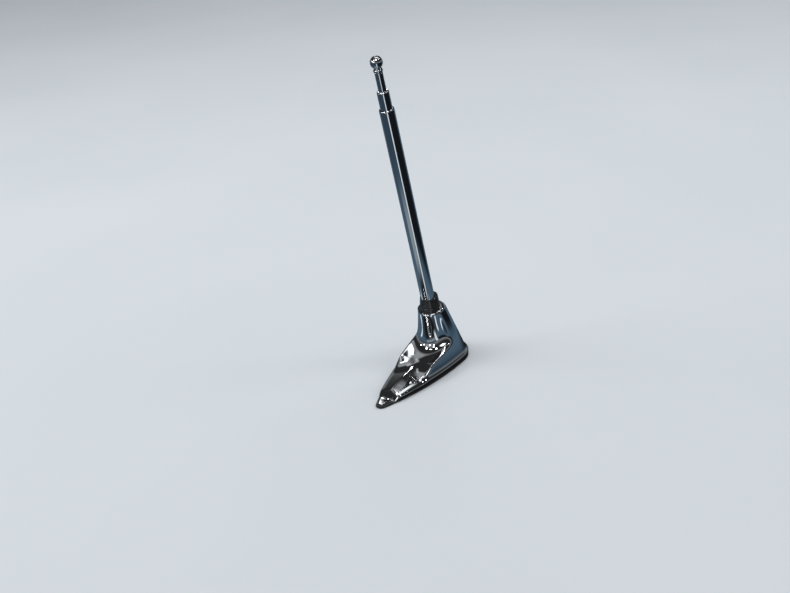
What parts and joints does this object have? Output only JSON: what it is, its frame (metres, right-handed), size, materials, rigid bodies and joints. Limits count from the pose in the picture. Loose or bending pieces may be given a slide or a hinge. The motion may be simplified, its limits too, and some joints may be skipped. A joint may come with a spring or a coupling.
{
  "type": "telescopic car radio aerial",
  "caption": "Leaning telescopic chrome aerial on a fin-shaped die-cast base, with stud, clamp plate and nut to hold it to a body panel and a lead socket below.",
  "frame": {"origin": "where the mounting stud's axis meets the body panel, on the gasket's underside", "axes": "+Z outward normal of the panel, +Y towards the pointed tail and the mast's lean, +X to the part's own left seen from the nose"},
  "size_m": [0.038, 0.0983, 0.2509],
  "materials": {
    "casting_chrome": "polished chrome plate on a zinc die casting",
    "tube_chrome": "polished chrome plate on drawn brass tube",
    "black_plastic": "moulded, glossy",
    "rubber": "moulded, matt",
    "brass": "turned",
    "plated_steel": "zinc plated",
    "spring_steel": "blued",
    "white_plastic": "moulded"
  },
  "bodies": {
    "base": {"base_casting": "casting_chrome", "base_gasket": "rubber", "insulator": "black_plastic", "mast_foot": "brass", "lower_tube": "tube_chrome", "mounting_stud": "plated_steel", "socket_insulator": "white_plastic", "centre_contact": "brass", "clamp_plate": "plated_steel", "lock_washer": "spring_steel", "mounting_nut": "plated_steel"},
    "middle": {"middle_tube": "tube_chrome"},
    "top": {"top_rod": "tube_chrome", "tip_ball": "tube_chrome"}
  },
  "joints": [
    {"name": "middle_slide", "type": "slide", "parent": "base", "child": "middle", "axis": [0, 0.2079, 0.9781], "range_m": [0, 0.148]},
    {"name": "top_slide", "type": "slide", "parent": "middle", "child": "top", "axis": [0, 0.2079, 0.9781], "range_m": [0, 0.157]}
  ]
}
